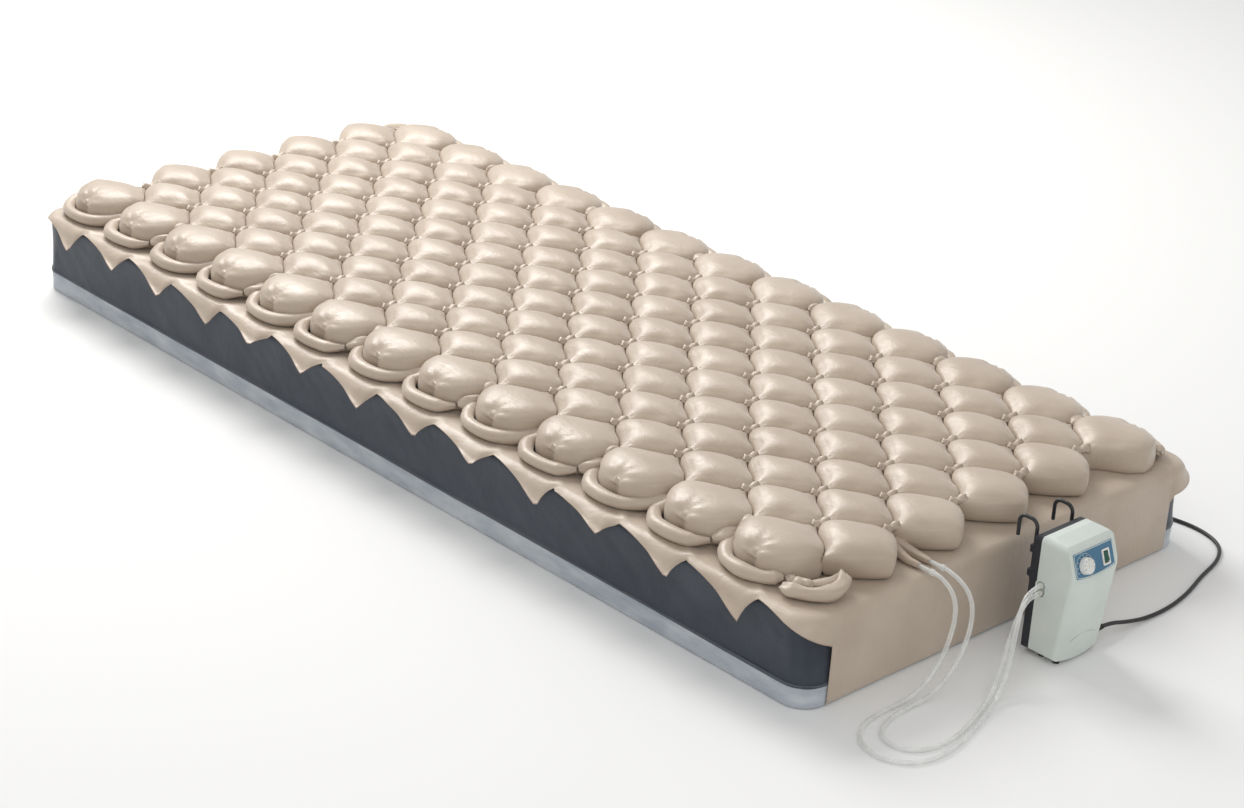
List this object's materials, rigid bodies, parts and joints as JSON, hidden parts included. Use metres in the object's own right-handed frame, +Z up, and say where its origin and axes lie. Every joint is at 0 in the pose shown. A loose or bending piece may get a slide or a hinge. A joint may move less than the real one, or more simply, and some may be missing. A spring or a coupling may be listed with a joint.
{
  "type": "pressure relief mattress",
  "caption": "Air-cell overlay pad on a foam mattress, fed through clear hoses by a small pump that alternates the pressure between its air circuits.",
  "frame": {"origin": "centre of the mattress's underside", "axes": "+X towards the foot end, +Y towards the side away from the hoses, +Z up"},
  "size_m": [2.2326, 1.0127, 0.219],
  "materials": {
    "foam": "open-cell foam",
    "navy_cover": "coated stretch fabric, soft sheen",
    "grey_cover": "woven ticking, matte",
    "zip_tape": "moulded teeth on woven tape",
    "zip_metal": "plated",
    "pad_film": "smooth soft vinyl sheet, satin gloss",
    "clear_tube": "clear vinyl",
    "case_grey": "fine satin moulding",
    "case_charcoal": "fine texture",
    "panel_blue": "printed film",
    "white_plastic": "satin",
    "rocker_green": "translucent gloss",
    "coated_wire": "dip-coated steel wire",
    "black_rubber": "matte",
    "cord_black": "satin vinyl jacket",
    "plug_brass": "plated",
    "screw_steel": "zinc plated",
    "steel_sheet": "zinc plated",
    "winding": "enamelled wire under tape",
    "arm_alloy": "pressed",
    "nylon": "moulded",
    "board_green": "solder mask",
    "silicone": "soft",
    "fuse_glass": "clear",
    "felt": "needled felt"
  },
  "bodies": {
    "mattress": {"foam_core": "foam", "cover_top": "navy_cover", "cover_base": "grey_cover", "zip_tape": "zip_tape", "pad_base_film": "pad_film", "supply_channel_a": "pad_film", "supply_channel_b": "pad_film", "inlet_nipple_a": "clear_tube", "inlet_nipple_b": "clear_tube", "hose_a": "clear_tube", "hose_b": "clear_tube", "pump_front_case": "case_grey", "pump_back_case": "case_charcoal", "control_panel": "panel_blue", "pressure_regulator": "nylon", "switch_bezel": "white_plastic", "hose_port_insert": "case_grey", "hose_nozzle_a": "nylon", "hose_nozzle_b": "nylon", "hook_saddles": "case_charcoal", "case_screws": "screw_steel", "rubber_feet": "black_rubber", "air_filter_felt": "felt", "magnet_core": "steel_sheet", "magnet_coil": "winding", "bellows_a": "black_rubber", "bellows_b": "black_rubber", "valve_chamber_a": "nylon", "valve_chamber_b": "nylon", "works_chassis": "steel_sheet", "timer_motor": "steel_sheet", "distributor_body": "nylon", "outlet_hoses": "silicone", "circuit_board": "board_green", "fuse_holder": "nylon", "fuse": "fuse_glass", "cord_gland": "black_rubber", "power_cord": "cord_black", "power_cord_tail": "cord_black", "power_cord_coil": "cord_black", "power_plug": "cord_black", "plug_pins": "plug_brass"},
    "air_circuit_a": {"air_cells_a": "pad_film"},
    "air_circuit_b": {"air_cells_b": "pad_film"},
    "zip_pull": {"zip_slider": "zip_metal"},
    "knob": {"pressure_knob": "white_plastic"},
    "rocker": {"switch_rocker": "rocker_green"},
    "left_hook": {"hang_hook_left": "coated_wire"},
    "right_hook": {"hang_hook_right": "coated_wire"},
    "arm_a": {"magnet_arm_a": "arm_alloy"},
    "arm_b": {"magnet_arm_b": "arm_alloy"},
    "air_timer_disc": {"distributor_disc": "nylon"},
    "filter_cover": {"air_filter_cover": "case_charcoal"}
  },
  "joints": [
    {"name": "circuit_a_inflate", "type": "slide", "parent": "mattress", "child": "air_circuit_a", "axis": [0, 0, 1], "range_m": [-0.042, 0], "stiffness_N_per_m": 6000, "springref_m": 0.006, "deforming": ["air_cells_a"]},
    {"name": "circuit_b_inflate", "type": "slide", "parent": "mattress", "child": "air_circuit_b", "axis": [0, 0, 1], "range_m": [-0.042, 0], "stiffness_N_per_m": 6000, "springref_m": 0.006, "deforming": ["air_cells_b"]},
    {"name": "zip_run", "type": "slide", "parent": "mattress", "child": "zip_pull", "axis": [1, 0, 0], "range_m": [0, 1.75]},
    {"name": "knob_turn", "type": "hinge", "parent": "mattress", "child": "knob", "pos_m": [1.159, -0.019, 0.169], "axis": [0.9377, 0, 0.3473], "range_deg": [-135, 135]},
    {"name": "rocker_tilt", "type": "hinge", "parent": "mattress", "child": "rocker", "pos_m": [1.15619, 0.031, 0.16796], "axis": [0, 1, 0], "range_deg": [0, 16]},
    {"name": "left_hook_fold", "type": "hinge", "parent": "mattress", "child": "left_hook", "pos_m": [1.079, -0.037, 0.16], "axis": [0, 0, -1], "range_deg": [0, 90]},
    {"name": "right_hook_fold", "type": "hinge", "parent": "mattress", "child": "right_hook", "pos_m": [1.079, 0.047, 0.16], "axis": [0, 0, 1], "range_deg": [0, 90]},
    {"name": "arm_a_swing", "type": "hinge", "parent": "mattress", "child": "arm_a", "pos_m": [1.117, -0.016, 0.1], "axis": [1, 0, 0], "range_deg": [-1.5, 1.5], "stiffness_Nm_per_rad": 0.2},
    {"name": "arm_b_swing", "type": "hinge", "parent": "mattress", "child": "arm_b", "pos_m": [1.117, 0.026, 0.1], "axis": [1, 0, 0], "range_deg": [-1.5, 1.5], "stiffness_Nm_per_rad": 0.2},
    {"name": "timer_disc_spin", "type": "hinge", "parent": "mattress", "child": "air_timer_disc", "pos_m": [1.115, 0.021, 0.136], "axis": [1, 0, 0], "continuous": true},
    {"name": "filter_cover_pull", "type": "slide", "parent": "mattress", "child": "filter_cover", "axis": [-1, 0, 0], "range_m": [0, 0.012]}
  ],
  "couplings": [
    {"joint": "arm_b_swing", "follows": "arm_a_swing", "ratio": -1}
  ]
}
